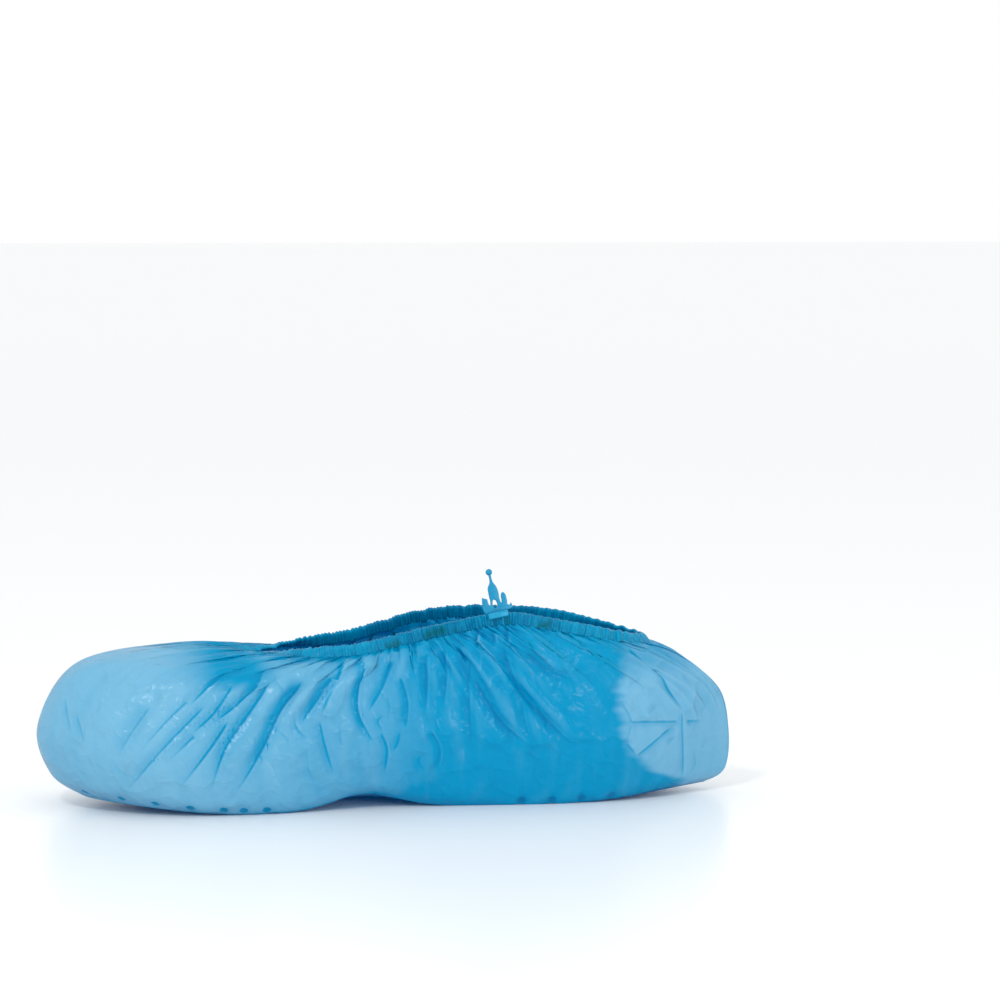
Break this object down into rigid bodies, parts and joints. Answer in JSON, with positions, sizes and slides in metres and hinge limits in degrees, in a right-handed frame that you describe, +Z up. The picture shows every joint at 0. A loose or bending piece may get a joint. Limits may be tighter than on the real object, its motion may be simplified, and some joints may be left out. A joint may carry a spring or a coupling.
{
  "type": "disposable shoe cover",
  "caption": "Thin film overshoe in its worn form: gathered elastic mouth, round toe, drawn-up heel end and a small dispenser clip on the hem.",
  "frame": {"origin": "on the floor, in the middle of the cover's outline", "axes": "+X from the heel to the toe, +Y to the side that carries the clip, +Z up"},
  "size_m": [0.3628, 0.1124, 0.1217],
  "materials": {
    "film": "thin glossy translucent film, crumpled",
    "hem": "the same film folded double over the elastic and tightly gathered",
    "elastic": "matt covered elastic",
    "clip": "moulded, satin"
  },
  "bodies": {
    "root": {"film_bag": "film", "opening_hem": "hem", "elastic_band": "elastic", "clip_body": "clip", "clip_clamp_bar": "clip"}
  },
  "joints": []
}
